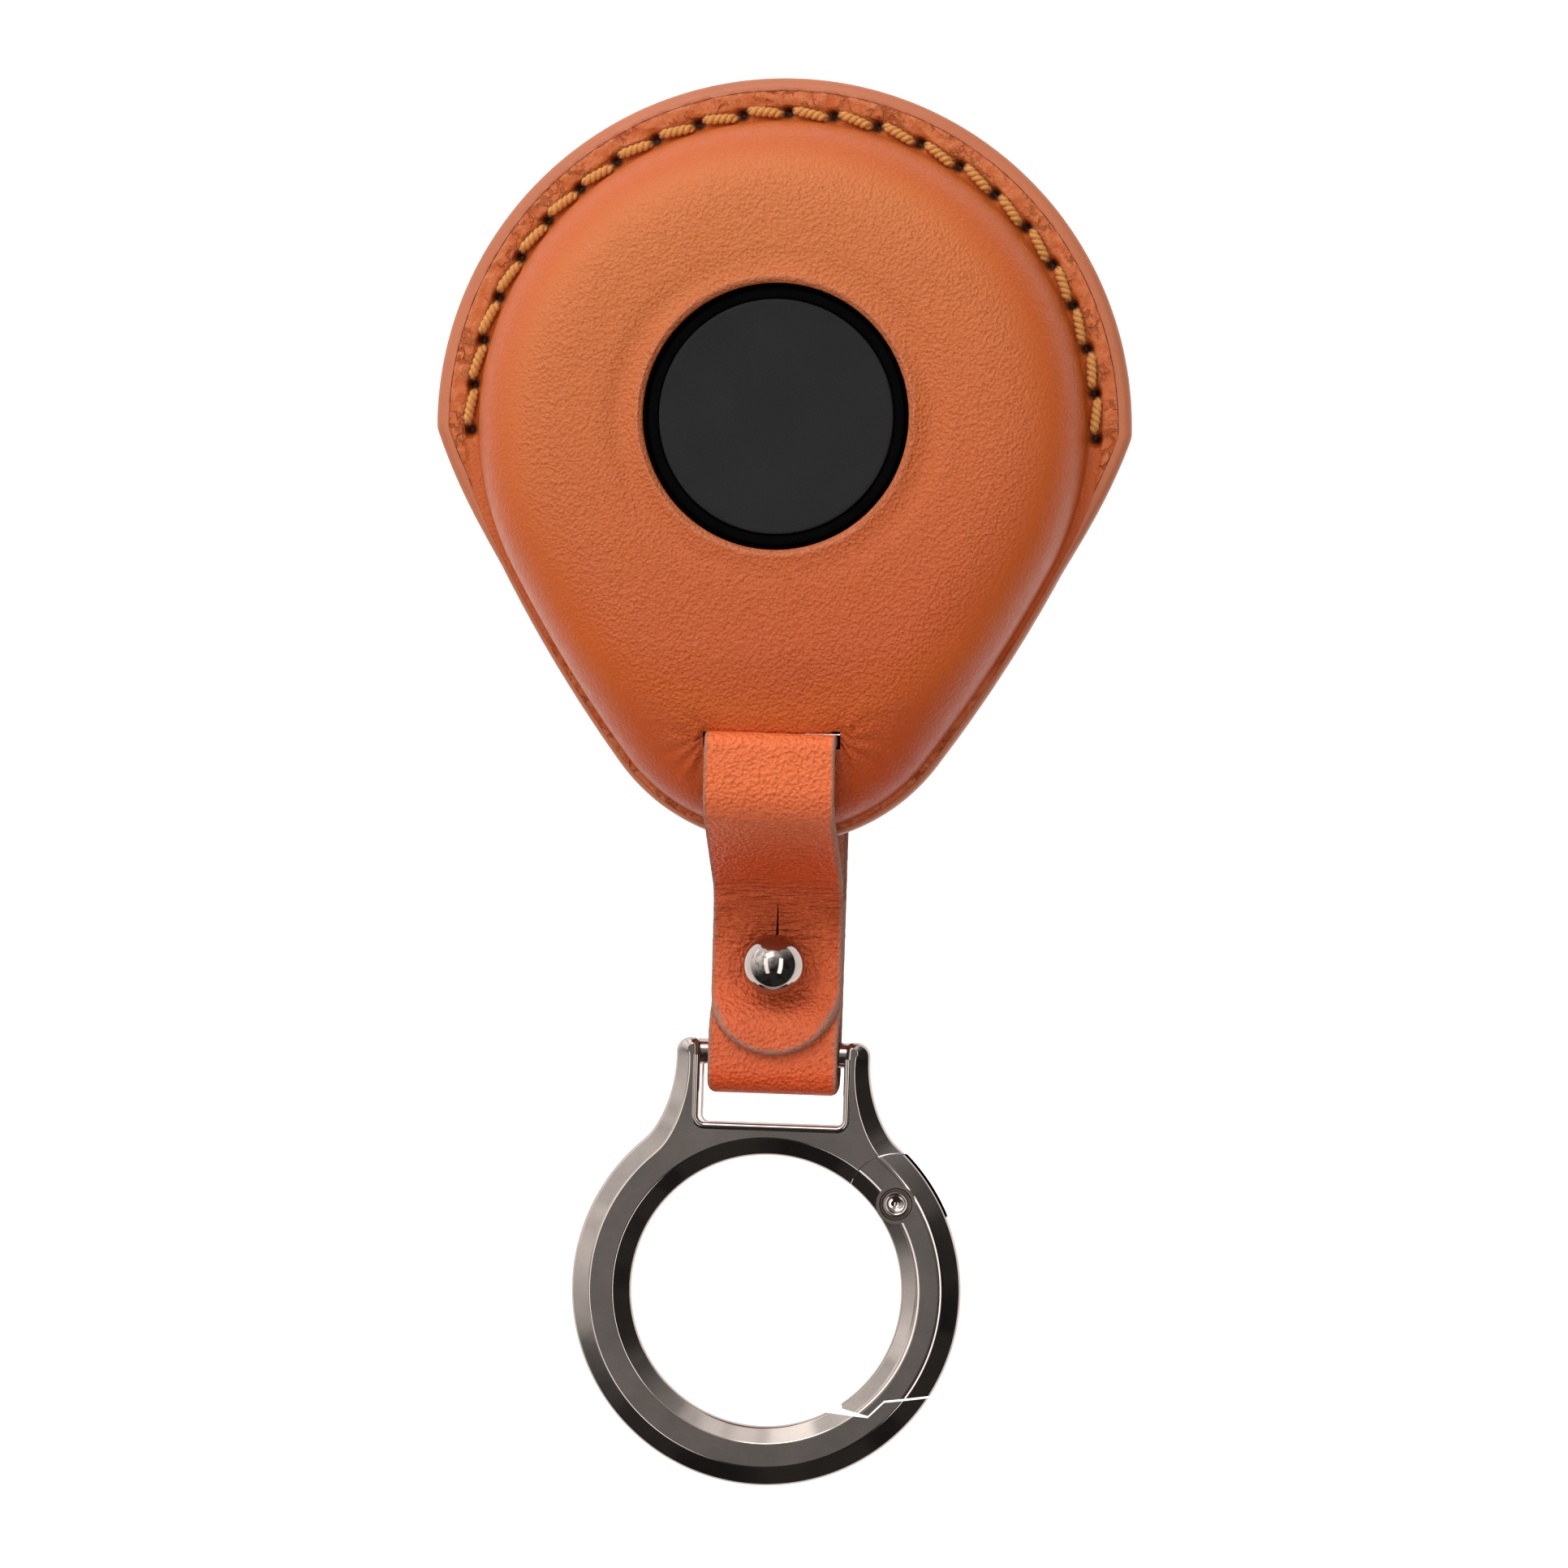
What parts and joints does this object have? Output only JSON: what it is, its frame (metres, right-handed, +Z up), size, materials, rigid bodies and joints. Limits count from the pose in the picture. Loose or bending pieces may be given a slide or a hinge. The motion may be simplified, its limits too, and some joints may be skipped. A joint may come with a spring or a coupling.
{
  "type": "key fob cover",
  "caption": "Moulded leather cover with a round window, sewn flange and looped strap, fastened by a ball stud to a spring-gate ring.",
  "frame": {"origin": "middle of the base, under the centre of the whole length, as the cover lies on its back", "axes": "+Z up, out of the front; +Y toward the round head of the cover; the ring lies toward -Y; +X to the right, seen from the front"},
  "size_m": [0.064, 0.1298, 0.019],
  "materials": {
    "shell_leather": "smooth, lightly creased",
    "strap_leather": "fine pebble grain",
    "lining_suede": "suede",
    "thread": "waxed twisted thread",
    "gunmetal": "polished dark plating",
    "spring_steel": "bright",
    "black_plastic": "gloss",
    "grey_plastic": "satin",
    "board": "solder mask"
  },
  "bodies": {
    "case": {"front_shell": "shell_leather", "rear_shell": "shell_leather", "front_lining": "lining_suede", "rear_lining": "lining_suede", "front_stitches": "thread", "rear_stitches": "thread", "strap_upper": "strap_leather", "fob_upper_case": "black_plastic", "fob_lower_case": "black_plastic", "fob_bezel": "black_plastic", "fob_face_disc": "grey_plastic", "fob_circuit_board": "board", "fob_coin_cell": "spring_steel"},
    "strap": {"strap_lower": "strap_leather", "stud_head": "gunmetal", "stud_screw": "gunmetal"},
    "tongue": {"strap_tongue": "strap_leather"},
    "ring": {"ring_frame": "gunmetal", "gate_pivot_pin": "gunmetal"},
    "gate": {"gate": "gunmetal", "gate_spring": "spring_steel"}
  },
  "joints": [
    {"name": "strap_flex", "type": "hinge", "parent": "case", "child": "strap", "pos_m": [-0.00022, -0.00979, 0.0006], "axis": [-0.9999, 0.0157, 0], "range_deg": [-60, 25]},
    {"name": "tongue_lift", "type": "hinge", "parent": "strap", "child": "tongue", "pos_m": [-0.00022, -0.00999, 0.0031], "axis": [-0.9999, 0.0157, 0], "range_deg": [0, 75], "deforming": ["strap_tongue"]},
    {"name": "ring_swing", "type": "hinge", "parent": "strap", "child": "ring", "pos_m": [-0.00046, -0.02493, 0.0025], "axis": [-0.9999, 0.0157, 0], "range_deg": [-80, 80]},
    {"name": "gate_hinge", "type": "hinge", "parent": "ring", "child": "gate", "pos_m": [0.01121, -0.03859, 0.0025], "axis": [0, 0, -1], "range_deg": [0, 40], "stiffness_Nm_per_rad": 0.02, "springref_deg": -28.65}
  ]
}
